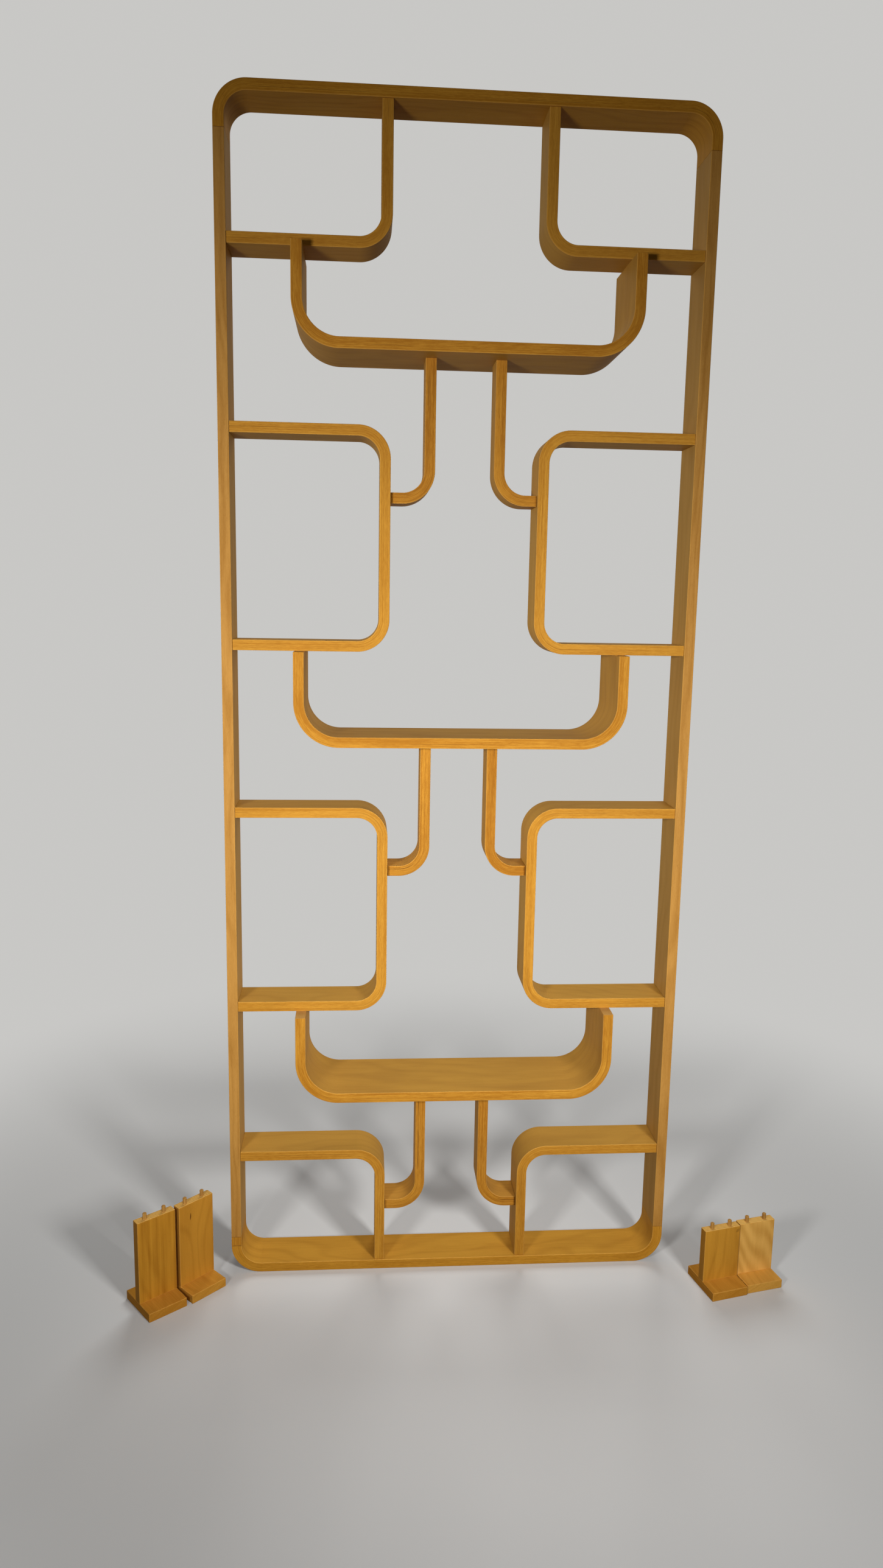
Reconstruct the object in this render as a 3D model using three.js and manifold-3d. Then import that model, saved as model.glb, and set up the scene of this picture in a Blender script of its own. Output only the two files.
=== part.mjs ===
// An open room divider of bent plywood. Two wide bent rails and two straight uprights make a tall narrow
// frame. Inside it, bent brackets stand out from the uprights, deep bent shelves hang under the brackets, and
// bent hooks hang under the shelves. Every joint is a butt joint with two dowels. Four loose feet, two tall
// and two short, stand beside it. Millimetres, X along the rails, Y through the depth to the back, Z up; the
// origin is the middle of the bottom rail's underside.
import * as THREE from 'three';
import { mergeVertices } from 'three/addons/utils/BufferGeometryUtils.js';
import Module from 'manifold-3d';

const wasm = await Module();
wasm.setup();

// Frame
const plyThickness = 20;
const frameWidth = 900;
const frameDepth = 90;
const frameBendRadius = 60;
const railLegStraight = 20;

// Brackets: one bend at the top and bottom of the frame, two bends between. The riser gap is the clear way
// between the upright stretches of a left and a right bracket.
const bracketDepth = 85;
const bracketBendRadius = 60;
const riserGap = 274;
const endBracketHeight = 246;
const middleBracketHeight = 412;
const storeyGap = 300;

// Shelves
const shelfWidth = 631;
const shelfDepth = 162;
const shelfDrop = 178;
const shelfBendRadius = 85;

// Hooks
const hookDepth = 65;
const hookHeight = 260;
const hookBendRadius = 60;
const hookTailStraight = 22;
const hookTailGap = 0.3;

// Dowels
const dowelDiameter = 8;
const dowelEdgeDistance = 20;
const dowelPlay = 0.3;
const faceHoleDepth = 12;
const railEndHoleDepth = 20;
const uprightEndHoleDepth = 30;
const shelfEndHoleDepth = 25;
const dowelSides = 8;

// Feet
const footWidth = 80;
const footBoardThickness = 18;
const footPlateThickness = 18;
const footPlateDepth = 97.5;
const tallFootHeight = 188;
const shortFootHeight = 129;
const footGlueGap = 0.3;
const plugLength = 12;
const plugHoleDepth = 20;
const socketDepth = 13;
const socketInset = 85;
const plugSides = 16;

// Where the loose feet stand: the inner foot of a pair by its corner next to the frame, the outer foot
// against the inner one
const leftPairSideGap = 7;
const leftPairForward = 43.5;
const rightPairSideGap = 45.4;
const rightPairForward = 46.5;
const leftPairGap = 0.4;
const rightPairGap = 1.3;
const leftPairShiftShare = 0.47;
const rightPairShiftShare = -0.47;
const footTurns = { tallInner: 43.4, tallOuter: 37.3, shortInner: 13.4, shortOuter: 12.2 };

// Shared small values
const arris = 1;
const bendSteps = 10;
const cutOverrun = 1;

// Sizes that follow
const uprightInnerFace = frameWidth / 2 - plyThickness;
const uprightCentre = frameWidth / 2 - plyThickness / 2;
const railLegHeight = frameBendRadius + railLegStraight;
const riserCentreFace = riserGap / 2;
const riserCentre = riserCentreFace + plyThickness / 2;
const armCentre = shelfWidth / 2 - plyThickness / 2;
const hookReach = hookBendRadius + hookTailStraight;
const hookOuterFace = riserCentreFace - hookTailGap - hookReach;
const bottomBracketTop = plyThickness + endBracketHeight;
const lowerBracketBottom = bottomBracketTop + storeyGap;
const upperBracketBottom = lowerBracketBottom + middleBracketHeight + storeyGap;
const topBracketBottom = upperBracketBottom + middleBracketHeight + storeyGap;
const frameHeight = topBracketBottom + endBracketHeight + plyThickness;

const along = new THREE.Vector3(1, 0, 0);
const up = new THREE.Vector3(0, 0, 1);
const down = new THREE.Vector3(0, 0, -1);

// Closed geometry to solid and back, so that pieces can be drilled and pegged
function solidFrom(geometry) {
  const bare = geometry.clone();
  bare.deleteAttribute('normal');
  bare.deleteAttribute('uv');
  const merged = mergeVertices(bare);
  return new wasm.Manifold(new wasm.Mesh({
    numProp: 3,
    vertProperties: new Float32Array(merged.attributes.position.array),
    triVerts: new Uint32Array(merged.index.array),
  }));
}

function geometryFrom(solid) {
  const mesh = solid.getMesh();
  const geometry = new THREE.BufferGeometry();
  geometry.setAttribute('position', new THREE.BufferAttribute(new Float32Array(mesh.vertProperties), 3));
  geometry.setIndex(new THREE.BufferAttribute(new Uint32Array(mesh.triVerts), 1));
  return geometry;
}

// A board bent to the left at each middle point of its outer face's path, with round bends of even thickness
function bentBoard(path, depth, outerRadius) {
  const outer = [path[0]];
  const inner = [];
  const leftOf = (direction) => new THREE.Vector2(-direction.y, direction.x);
  const directions = path.slice(1).map((point, i) => point.clone().sub(path[i]).normalize());
  inner.push(path[0].clone().addScaledVector(leftOf(directions[0]), plyThickness));
  for (let i = 1; i < path.length - 1; i += 1) {
    const before = directions[i - 1];
    const after = directions[i];
    const toCentre = after.clone().sub(before).multiplyScalar(outerRadius);
    const centre = path[i].clone().add(toCentre);
    for (let step = 0; step <= bendSteps; step += 1) {
      const turn = (Math.PI / 2) * (step / bendSteps);
      const ray = after.clone().multiplyScalar(-Math.cos(turn)).addScaledVector(before, Math.sin(turn));
      outer.push(centre.clone().addScaledVector(ray, outerRadius));
      inner.push(centre.clone().addScaledVector(ray, outerRadius - plyThickness));
    }
  }
  const last = path[path.length - 1];
  outer.push(last);
  inner.push(last.clone().addScaledVector(leftOf(directions[directions.length - 1]), plyThickness));
  return easedExtrusion(new THREE.Shape([...outer, ...inner.reverse()]), depth);
}

// A shape drawn in X and Z, given a depth centred on Y and a small arris along its front and back edges
function easedExtrusion(shape, depth) {
  const geometry = new THREE.ExtrudeGeometry(shape, {
    depth: depth - 2 * arris,
    bevelThickness: arris,
    bevelSize: arris,
    bevelOffset: -arris,
    bevelSegments: 1,
  });
  return geometry.rotateX(Math.PI / 2).translate(0, depth / 2 - arris, 0);
}

// A straight board with the same arris round its front and back
function straightBoard(sizeX, sizeY, sizeZ, centreX, centreY, bottom) {
  const shape = new THREE.Shape();
  shape.moveTo(centreX - sizeX / 2, bottom);
  shape.lineTo(centreX + sizeX / 2, bottom);
  shape.lineTo(centreX + sizeX / 2, bottom + sizeZ);
  shape.lineTo(centreX - sizeX / 2, bottom + sizeZ);
  return easedExtrusion(shape, sizeY).translate(0, centreY, 0);
}

// A round bar from start, for a length in a direction
function bar(start, direction, length, diameter, sides) {
  const turn = new THREE.Quaternion().setFromUnitVectors(new THREE.Vector3(0, 1, 0), direction);
  const middle = start.clone().addScaledVector(direction, length / 2);
  const geometry = new THREE.CylinderGeometry(diameter / 2, diameter / 2, length, sides);
  return geometry.applyQuaternion(turn).translate(middle.x, middle.y, middle.z);
}

// The two places across the depth where a pair of dowels goes into a board's end
function pairPlaces(depth) {
  return [-1, 1].map((end) => end * (depth / 2 - dowelEdgeDistance));
}

// Blind holes for a pair of dowels, from a face at (x, z) into the solid
function drill(solid, x, z, direction, holeDepth, boardDepth, sides = dowelSides) {
  return pairPlaces(boardDepth).reduce((rest, y) => {
    const start = new THREE.Vector3(x, y, z).addScaledVector(direction, -cutOverrun);
    const hole = bar(start, direction, holeDepth + cutOverrun, dowelDiameter + 2 * dowelPlay, sides);
    return rest.subtract(solidFrom(hole));
  }, solid);
}

// A pair of dowels that stand out of a board's end at (x, z), long enough for a face hole
function peg(solid, x, z, direction, boardDepth, gap = 0) {
  return pairPlaces(boardDepth).reduce((whole, y) => {
    const start = new THREE.Vector3(x, y, z).addScaledVector(direction, -cutOverrun);
    const length = cutOverrun + gap + faceHoleDepth - dowelPlay;
    return whole.add(solidFrom(bar(start, direction, length, dowelDiameter, dowelSides)));
  }, solid);
}

const finishes = {
  bentPly: { color: 0xc88c41, roughness: 0.38, metalness: 0 },
  straightPly: { color: 0xcb9248, roughness: 0.38, metalness: 0 },
  footWood: { color: 0xc07f38, roughness: 0.42, metalness: 0 },
  dowelWood: { color: 0xc89a62, roughness: 0.7, metalness: 0 },
};

function piece(name, geometry, finish) {
  const mesh = new THREE.Mesh(geometry, new THREE.MeshStandardMaterial(finishes[finish]));
  mesh.name = name;
  return mesh;
}

const points = (...pairs) => pairs.map(([x, z]) => new THREE.Vector2(x, z));

// Rails: a leg, the long run and a second leg from one board. The bottom rail's left leg ends with its bend.
function railBlank(leftLegHeight) {
  const side = frameWidth / 2;
  const path = points([-side, leftLegHeight], [-side, 0], [side, 0], [side, railLegHeight]);
  return bentBoard(path, frameDepth, frameBendRadius);
}

// All holes of a rail that lies with its legs up: for the corner dowels in the legs' ends, for the end
// brackets inside, and for the plugs of two feet outside
function drilledRail(leftLegHeight) {
  let rail = solidFrom(railBlank(leftLegHeight));
  rail = drill(rail, -uprightCentre, leftLegHeight, down, railEndHoleDepth, frameDepth);
  rail = drill(rail, uprightCentre, railLegHeight, down, railEndHoleDepth, frameDepth);
  for (const side of [-1, 1]) {
    rail = drill(rail, side * riserCentre, plyThickness, down, faceHoleDepth, bracketDepth);
    const socket = side * (frameWidth / 2 - socketInset);
    rail = drill(rail, socket, 0, up, socketDepth, footWidth, plugSides);
  }
  return geometryFrom(rail);
}

function bottomRail() {
  return piece('bottom_rail', drilledRail(frameBendRadius), 'bentPly');
}

function topRail() {
  const rail = piece('top_rail', drilledRail(railLegHeight), 'bentPly');
  rail.rotation.y = Math.PI;
  rail.position.z = frameHeight;
  return rail;
}

// A small block that makes the bottom rail's left leg up to the height of the others
function makeupBlock() {
  const height = railLegHeight - frameBendRadius;
  const blank = straightBoard(plyThickness, frameDepth, height, -uprightCentre, 0, frameBendRadius);
  const throughDepth = height + cutOverrun;
  const drilled = drill(solidFrom(blank), -uprightCentre, frameBendRadius, up, throughDepth, frameDepth);
  return piece('makeup_block', geometryFrom(drilled), 'straightPly');
}

// The levels at which brackets end on an upright
const bracketEndLevels = [
  bottomBracketTop - plyThickness / 2,
  lowerBracketBottom + plyThickness / 2,
  lowerBracketBottom + middleBracketHeight - plyThickness / 2,
  upperBracketBottom + plyThickness / 2,
  upperBracketBottom + middleBracketHeight - plyThickness / 2,
  topBracketBottom + plyThickness / 2,
];

// Right upright, with its end holes and the holes of the brackets
function uprightGeometry() {
  const height = frameHeight - 2 * railLegHeight;
  let board = solidFrom(straightBoard(plyThickness, frameDepth, height, uprightCentre, 0, railLegHeight));
  board = drill(board, uprightCentre, railLegHeight, up, uprightEndHoleDepth, frameDepth);
  board = drill(board, uprightCentre, frameHeight - railLegHeight, down, uprightEndHoleDepth, frameDepth);
  for (const level of bracketEndLevels) {
    board = drill(board, uprightInnerFace, level, along, faceHoleDepth, bracketDepth);
  }
  return geometryFrom(board);
}

// The holes that a shelf's arm, hung from this bracket, and a hook's tail need in a right bracket
function drillForShelf(bracket, underside) {
  return drill(bracket, armCentre, underside, up, faceHoleDepth, bracketDepth);
}

function drillForHook(bracket, shelfAbove) {
  const level = shelfAbove - shelfDrop - hookHeight + plyThickness / 2;
  return drill(bracket, riserCentreFace, level, along, faceHoleDepth, hookDepth);
}

// Right end brackets: one bend, from the upright to the rail. The low one stands, the high one hangs.
function bottomBracketGeometry() {
  const path = points([uprightInnerFace, bottomBracketTop], [riserCentreFace, bottomBracketTop],
    [riserCentreFace, plyThickness]);
  let bracket = solidFrom(bentBoard(path, bracketDepth, bracketBendRadius));
  bracket = peg(bracket, uprightInnerFace, bottomBracketTop - plyThickness / 2, along, bracketDepth);
  bracket = peg(bracket, riserCentre, plyThickness, down, bracketDepth);
  return geometryFrom(drillForHook(bracket, lowerBracketBottom));
}

function topBracketGeometry() {
  const railFace = frameHeight - plyThickness;
  const path = points([riserCentreFace, railFace], [riserCentreFace, topBracketBottom],
    [uprightInnerFace, topBracketBottom]);
  let bracket = solidFrom(bentBoard(path, bracketDepth, bracketBendRadius));
  bracket = peg(bracket, uprightInnerFace, topBracketBottom + plyThickness / 2, along, bracketDepth);
  bracket = peg(bracket, riserCentre, railFace, up, bracketDepth);
  return geometryFrom(drillForShelf(bracket, topBracketBottom));
}

// Right middle bracket: two bends, both ends on the upright, a shelf below and a hook against its riser
function middleBracketGeometry(bottom, shelfAbove) {
  const top = bottom + middleBracketHeight;
  const path = points([uprightInnerFace, top], [riserCentreFace, top], [riserCentreFace, bottom],
    [uprightInnerFace, bottom]);
  let bracket = solidFrom(bentBoard(path, bracketDepth, bracketBendRadius));
  bracket = peg(bracket, uprightInnerFace, top - plyThickness / 2, along, bracketDepth);
  bracket = peg(bracket, uprightInnerFace, bottom + plyThickness / 2, along, bracketDepth);
  return geometryFrom(drillForHook(drillForShelf(bracket, bottom), shelfAbove));
}

// Shelf: a deep tray, open to front and back, that hangs by its two arms
function shelfGeometry(hangsFrom) {
  const side = shelfWidth / 2;
  const bottom = hangsFrom - shelfDrop;
  const path = points([-side, hangsFrom], [-side, bottom], [side, bottom], [side, hangsFrom]);
  let shelf = solidFrom(bentBoard(path, shelfDepth, shelfBendRadius));
  for (const end of [-1, 1]) {
    shelf = drill(shelf, end * armCentre, hangsFrom, down, shelfEndHoleDepth, bracketDepth);
    shelf = drill(shelf, end * (hookOuterFace + plyThickness / 2), bottom, up, faceHoleDepth, hookDepth);
  }
  return geometryFrom(shelf);
}

// Right hook: from under a shelf down and round to the riser of the bracket below
function hookGeometry(shelfAbove) {
  const top = shelfAbove - shelfDrop;
  const bottom = top - hookHeight;
  const tail = riserCentreFace - hookTailGap;
  const path = points([hookOuterFace, top], [hookOuterFace, bottom], [tail, bottom]);
  let hook = solidFrom(bentBoard(path, hookDepth, hookBendRadius));
  hook = peg(hook, hookOuterFace + plyThickness / 2, top, up, hookDepth);
  hook = peg(hook, tail, bottom + plyThickness / 2, along, hookDepth, hookTailGap);
  return geometryFrom(hook);
}

// Loose dowels of one joint, each in its own mesh. ends names them in the order of their places.
function loosePair(name, ends, x, bottom, length, boardDepth) {
  return pairPlaces(boardDepth).map((y, i) => {
    const start = new THREE.Vector3(x, y, bottom + dowelPlay);
    const dowel = bar(start, up, length - 2 * dowelPlay, dowelDiameter, dowelSides);
    return piece(`${name}_${ends[i]}`, dowel, 'dowelWood');
  });
}

// One side of the frame, drawn as the right side; the left side is the same, turned half round. ends names
// the dowels of a pair: in the side that is turned, the one drawn in front comes to the back.
function frameSide(sideName, ends, legHeight) {
  const side = new THREE.Group();
  const add = (name, geometry, finish = 'bentPly') => {
    side.add(piece(`${sideName}_${name}`, geometry, finish));
  };
  add('upright', uprightGeometry(), 'straightPly');
  add('bottom_bracket', bottomBracketGeometry());
  add('lower_bracket', middleBracketGeometry(lowerBracketBottom, upperBracketBottom));
  add('upper_bracket', middleBracketGeometry(upperBracketBottom, topBracketBottom));
  add('top_bracket', topBracketGeometry());
  const storeys = { lower: lowerBracketBottom, middle: upperBracketBottom, upper: topBracketBottom };
  for (const [storey, level] of Object.entries(storeys)) {
    add(`${storey}_hook`, hookGeometry(level));
    const start = level - shelfEndHoleDepth;
    const length = shelfEndHoleDepth + faceHoleDepth;
    const pair = `${sideName}_${storey}_shelf_dowel`;
    side.add(...loosePair(pair, ends, armCentre, start, length, bracketDepth));
  }
  const bottomStart = legHeight - railEndHoleDepth;
  const bottomLength = railLegHeight + uprightEndHoleDepth - bottomStart;
  const bottomPair = `${sideName}_bottom_corner_dowel`;
  side.add(...loosePair(bottomPair, ends, uprightCentre, bottomStart, bottomLength, frameDepth));
  const topStart = frameHeight - railLegHeight - uprightEndHoleDepth;
  const topLength = uprightEndHoleDepth + railEndHoleDepth;
  const topPair = `${sideName}_top_corner_dowel`;
  side.add(...loosePair(topPair, ends, uprightCentre, topStart, topLength, frameDepth));
  return side;
}

// Foot, drawn from the left end of its board: a plate, an upright board pegged to it, and two plugs on top
function foot(name, height) {
  const group = new THREE.Group();
  const middle = footWidth / 2;
  const boardBottom = footPlateThickness + footGlueGap;
  const places = [dowelEdgeDistance, footWidth - dowelEdgeDistance];
  const hole = dowelDiameter + 2 * dowelPlay;
  const boardHeight = height - boardBottom;
  let plate = solidFrom(straightBoard(footWidth, footPlateDepth, footPlateThickness, middle, 0, 0));
  let board = solidFrom(straightBoard(footWidth, footBoardThickness, boardHeight, middle, 0, boardBottom));
  places.forEach((x, i) => {
    const seat = new THREE.Vector3(x, 0, footPlateThickness + cutOverrun);
    plate = plate.subtract(solidFrom(bar(seat, down, faceHoleDepth + cutOverrun, hole, dowelSides)));
    const root = new THREE.Vector3(x, 0, boardBottom + cutOverrun);
    const pegLength = cutOverrun + footGlueGap + faceHoleDepth - dowelPlay;
    board = board.add(solidFrom(bar(root, down, pegLength, dowelDiameter, dowelSides)));
    const mouth = new THREE.Vector3(x, 0, height + cutOverrun);
    board = board.subtract(solidFrom(bar(mouth, down, plugHoleDepth + cutOverrun, hole, plugSides)));
    const plugStart = new THREE.Vector3(x, 0, height - plugHoleDepth + dowelPlay);
    const plug = bar(plugStart, up, plugHoleDepth - dowelPlay + plugLength, dowelDiameter, plugSides);
    group.add(piece(`${name}_plug_${['left', 'right'][i]}`, plug, 'dowelWood'));
  });
  group.add(piece(`${name}_plate`, geometryFrom(plate), 'footWood'));
  group.add(piece(`${name}_board`, geometryFrom(board), 'footWood'));
  return group;
}

// Turns a foot and moves it so that the point (x, y) of its own comes to a place on the floor
function standFoot(group, turn, x, y, place) {
  group.rotation.z = THREE.MathUtils.degToRad(turn);
  const reach = new THREE.Vector3(x, y, 0).applyEuler(group.rotation);
  group.position.copy(place).sub(reach);
  group.updateMatrix();
}

const floorPoint = (x, y) => new THREE.Vector3(x, y, 0);
const frameFront = -frameDepth / 2;
const halfPlate = footPlateDepth / 2;

// The tall pair on the left: the inner foot's right front corner is nearest the frame, and the outer foot's
// right end lies against the inner foot's left back corner
function tallPair() {
  const corner = floorPoint(-frameWidth / 2 - leftPairSideGap, frameFront - leftPairForward);
  const inner = foot('tall_foot_inner', tallFootHeight);
  standFoot(inner, footTurns.tallInner, footWidth, -halfPlate, corner);
  const meeting = floorPoint(0, halfPlate).applyMatrix4(inner.matrix);
  const outer = foot('tall_foot_outer', tallFootHeight);
  const shift = leftPairShiftShare * footPlateDepth;
  standFoot(outer, footTurns.tallOuter, footWidth + leftPairGap, shift, meeting);
  return [inner, outer];
}

// The short pair on the right: the inner foot's left back corner is nearest the frame, and the outer foot's
// left front corner lies against the inner foot's right end
function shortPair() {
  const corner = floorPoint(frameWidth / 2 + rightPairSideGap, frameFront - rightPairForward);
  const inner = foot('short_foot_inner', shortFootHeight);
  standFoot(inner, footTurns.shortInner, 0, halfPlate, corner);
  const shift = rightPairShiftShare * footPlateDepth;
  const meeting = floorPoint(footWidth + rightPairGap, shift).applyMatrix4(inner.matrix);
  const outer = foot('short_foot_outer', shortFootHeight);
  standFoot(outer, footTurns.shortOuter, 0, -halfPlate, meeting);
  return [inner, outer];
}

const roomDivider = new THREE.Group();
roomDivider.add(bottomRail(), topRail(), makeupBlock());
const rightSide = frameSide('right', ['front', 'back'], railLegHeight);
const leftSide = frameSide('left', ['back', 'front'], frameBendRadius);
leftSide.rotation.z = Math.PI;
roomDivider.add(rightSide, leftSide);
roomDivider.add(piece('lower_shelf', shelfGeometry(lowerBracketBottom), 'bentPly'));
roomDivider.add(piece('middle_shelf', shelfGeometry(upperBracketBottom), 'bentPly'));
roomDivider.add(piece('upper_shelf', shelfGeometry(topBracketBottom), 'bentPly'));
roomDivider.add(...tallPair(), ...shortPair());

export default roomDivider;
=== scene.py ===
# An open divider of bent plywood with its four loose feet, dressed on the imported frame: beech veneers
# under a honey lacquer, with the plies, glue lines, grain and eased edges of every board. Metres, in the
# frame's axes: X along the rails, Y through the depth to the back, Z up.
import itertools
import math

import bmesh
import bpy
from mathutils import Matrix
from mathutils import Vector


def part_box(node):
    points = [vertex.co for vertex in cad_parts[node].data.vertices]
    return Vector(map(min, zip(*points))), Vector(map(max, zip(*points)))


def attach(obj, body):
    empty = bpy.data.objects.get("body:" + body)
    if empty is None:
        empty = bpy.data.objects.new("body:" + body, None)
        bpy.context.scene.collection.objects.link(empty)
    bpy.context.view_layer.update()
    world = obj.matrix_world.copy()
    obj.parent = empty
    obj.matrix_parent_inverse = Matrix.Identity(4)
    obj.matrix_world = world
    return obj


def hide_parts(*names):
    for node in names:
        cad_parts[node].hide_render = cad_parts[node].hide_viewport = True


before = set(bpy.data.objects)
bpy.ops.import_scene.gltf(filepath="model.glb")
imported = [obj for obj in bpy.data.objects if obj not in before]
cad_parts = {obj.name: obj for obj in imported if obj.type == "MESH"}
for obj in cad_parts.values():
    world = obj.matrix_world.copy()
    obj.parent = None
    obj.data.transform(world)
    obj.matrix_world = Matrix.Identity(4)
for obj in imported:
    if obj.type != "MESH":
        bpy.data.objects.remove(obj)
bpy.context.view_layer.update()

# Studio. A plain pale floor runs out into a pale background. Two soft lamps stand left and right in front
# of the divider, one aimed high and one low, so that shadows fall to both sides of each board. One high
# behind lights the floor and the back. The camera stands at the photo's place, left of the middle.
scene = bpy.context.scene
scene.view_settings.view_transform = "Standard"
photo_height = 2576
focal_pixels = 1768.1
sensor = 36.0

camera_data = bpy.data.cameras.new("camera")
camera_data.sensor_fit = "VERTICAL"
camera_data.sensor_width = sensor
camera_data.sensor_height = sensor
camera_data.lens = focal_pixels / photo_height * sensor
camera = bpy.data.objects.new("camera", camera_data)
camera.location = (-0.1870, -2.0903, 1.3779)
camera.rotation_euler = [math.radians(angle) for angle in (80.2717, -0.9755, -4.1135)]
scene.collection.objects.link(camera)
scene.camera = camera

background = (0.58, 0.575, 0.56, 1.0)
fill_strength = 0.08
upper_target = Vector((0.0, 0.0, 1.1))
lower_target = Vector((-0.1, 0.0, 0.5))
rear_target = Vector((0.0, 0.8, 0.4))
lamps = {
    "left_lamp": {"place": (-1.20, -2.12, 1.38), "target": upper_target, "size": 0.35, "spread": 71,
                  "power": 8.9, "mirrored": True},
    "right_lamp": {"place": (0.92, -1.96, 1.34), "target": lower_target, "size": 0.35, "spread": 75,
                   "power": 7.4, "mirrored": True},
    "rear_lamp": {"place": (0.3, 3.0, 3.2), "target": rear_target, "size": 2.0, "spread": 180,
                  "power": 64.0, "mirrored": False},
}
for lamp_name, plan in lamps.items():
    lamp_data = bpy.data.lights.new(lamp_name, "AREA")
    lamp_data.shape = "SQUARE"
    lamp_data.size = plan["size"]
    lamp_data.spread = math.radians(plan["spread"])
    lamp_data.energy = plan["power"]
    lamp = bpy.data.objects.new(lamp_name, lamp_data)
    lamp.location = plan["place"]
    lamp.rotation_euler = (plan["target"] - lamp.location).to_track_quat("-Z", "Y").to_euler()
    lamp.visible_camera = False
    lamp.visible_glossy = plan["mirrored"]
    scene.collection.objects.link(lamp)


def add(tree, kind, inputs=None, **settings):
    """Adds a shader node. inputs holds a value or another node's output for each socket named."""
    made = tree.nodes.new(kind)
    for name, value in settings.items():
        setattr(made, name, value)
    for name, value in (inputs or {}).items():
        if isinstance(value, bpy.types.NodeSocket):
            tree.links.new(value, made.inputs[name])
        else:
            made.inputs[name].default_value = value
    return made


def sums(tree, operation, first, second=0.0, third=0.0):
    """The result of one arithmetic node."""
    return add(tree, "ShaderNodeMath", {0: first, 1: second, 2: third}, operation=operation).outputs[0]


def as_seen(tree):
    """1 where the camera or a mirroring or clear surface looks, 0 for the light that is thrown back."""
    ray = add(tree, "ShaderNodeLightPath").outputs
    mirrored = sums(tree, "MAXIMUM", ray["Is Glossy Ray"], ray["Is Transmission Ray"])
    return sums(tree, "MAXIMUM", ray["Is Camera Ray"], mirrored)


def backdrop(tree, kind):
    """The pale background at full strength where it is seen, and a weak fill light elsewhere."""
    level = add(tree, "ShaderNodeMapRange", {"Value": as_seen(tree), "To Min": fill_strength})
    return add(tree, kind, {"Color": background, "Strength": level.outputs[0]}).outputs[0]


world = bpy.data.worlds.new("studio")
world.use_nodes = True
world.node_tree.nodes.clear()
sky = backdrop(world.node_tree, "ShaderNodeBackground")
add(world.node_tree, "ShaderNodeOutputWorld", {"Surface": sky})
scene.world = world

floor_radius = 9.0
floor_sides = 96
floor_roughness = 0.9
floor_fade_start = 0.6
floor_fade_end = 1.8
floor_as_seen = (0.72, 0.715, 0.70, 1.0)
floor_throwing_light = (0.09, 0.088, 0.086, 1.0)
floor_shape = bmesh.new()
bmesh.ops.create_circle(floor_shape, cap_ends=True, segments=floor_sides, radius=floor_radius)
floor_mesh = bpy.data.meshes.new("floor")
floor_shape.to_mesh(floor_mesh)
floor_shape.free()
floor = bpy.data.objects.new("floor", floor_mesh)
scene.collection.objects.link(floor)

floor_paint = bpy.data.materials.new("floor_paint")
floor_paint.use_nodes = True
floor_tree = floor_paint.node_tree
floor_tree.nodes.clear()
place = add(floor_tree, "ShaderNodeTexCoord")
reach = add(floor_tree, "ShaderNodeVectorMath", {0: place.outputs["Object"]}, operation="LENGTH")
fade = add(floor_tree, "ShaderNodeMapRange",
           {"Value": reach.outputs["Value"], "From Min": floor_fade_start, "From Max": floor_fade_end},
           interpolation_type="SMOOTHSTEP")
# the floor is pale as it is seen, and dark to the light that it throws back, so undersides stay in shade
floor_colour = add(floor_tree, "ShaderNodeMix",
                   {"Factor": as_seen(floor_tree), "A": floor_throwing_light, "B": floor_as_seen},
                   data_type="RGBA")
paint = add(floor_tree, "ShaderNodeBsdfPrincipled",
            {"Base Color": floor_colour.outputs["Result"], "Roughness": floor_roughness})
haze = backdrop(floor_tree, "ShaderNodeEmission")
floor_mix = add(floor_tree, "ShaderNodeMixShader", {0: fade.outputs[0], 1: paint.outputs[0], 2: haze})
add(floor_tree, "ShaderNodeOutputMaterial", {"Surface": floor_mix.outputs[0]})
floor_mesh.materials.append(floor_paint)


# Bottom rail. A wide U glued up from thin beech veneers and bent in one press. Its left leg is cut off
# where the bend ends. The long edges are eased, the ends are butt-jointed on dowels, and two pairs of
# sockets in the underside take the plugs of two feet.
upright_low, upright_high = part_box("right_upright")
rail_low, rail_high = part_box("bottom_rail")
ply_thickness = upright_high.x - upright_low.x
frame_half_width = rail_high.x
frame_depth = rail_high.y - rail_low.y
frame_bend_radius = 0.060
eased_edge = 0.0012
eased_end = 0.0004
edge_steps = 4
bend_steps = 30
sharp_angle = math.radians(40)
large_face_weight = 100
piece_numbers = itertools.count(1)


def srgb(red, green, blue):
    """A colour as it looks in plain light, each part 0 to 255, in the linear values that shaders take."""
    shares = [part / 255 for part in (red, green, blue)]
    return (*[(share + 0.055) ** 2.4 / 1.055 ** 2.4 for share in shares], 1.0)


def run_along(corners, outer_radius=0.0, thickness=ply_thickness):
    """Stations along a board that bends to the left at each corner of its outer face, in X and Z. Each is
    the point on the outer face, the way into the board, the way along it and the length so far."""
    points = [Vector(corner) for corner in corners]
    ways = [(end - start).normalized() for start, end in zip(points, points[1:])]
    run = [(points[0], Vector((-ways[0].y, ways[0].x)), ways[0], 0.0)]
    for corner, before, after in zip(points[1:-1], ways, ways[1:]):
        centre = corner + (after - before) * outer_radius
        length = run[-1][3] + (corner - before * outer_radius - run[-1][0]).length
        for step in range(bend_steps + 1):
            turn = math.pi / 2 * step / bend_steps
            inward = after * math.cos(turn) - before * math.sin(turn)
            way = before * math.cos(turn) + after * math.sin(turn)
            bent = turn * (outer_radius - thickness / 2)
            run.append((centre - inward * outer_radius, inward, way, length + bent))
    length = run[-1][3] + (points[-1] - run[-1][0]).length
    run.append((points[-1], Vector((-ways[-1].y, ways[-1].x)), ways[-1], length))
    return run


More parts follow.
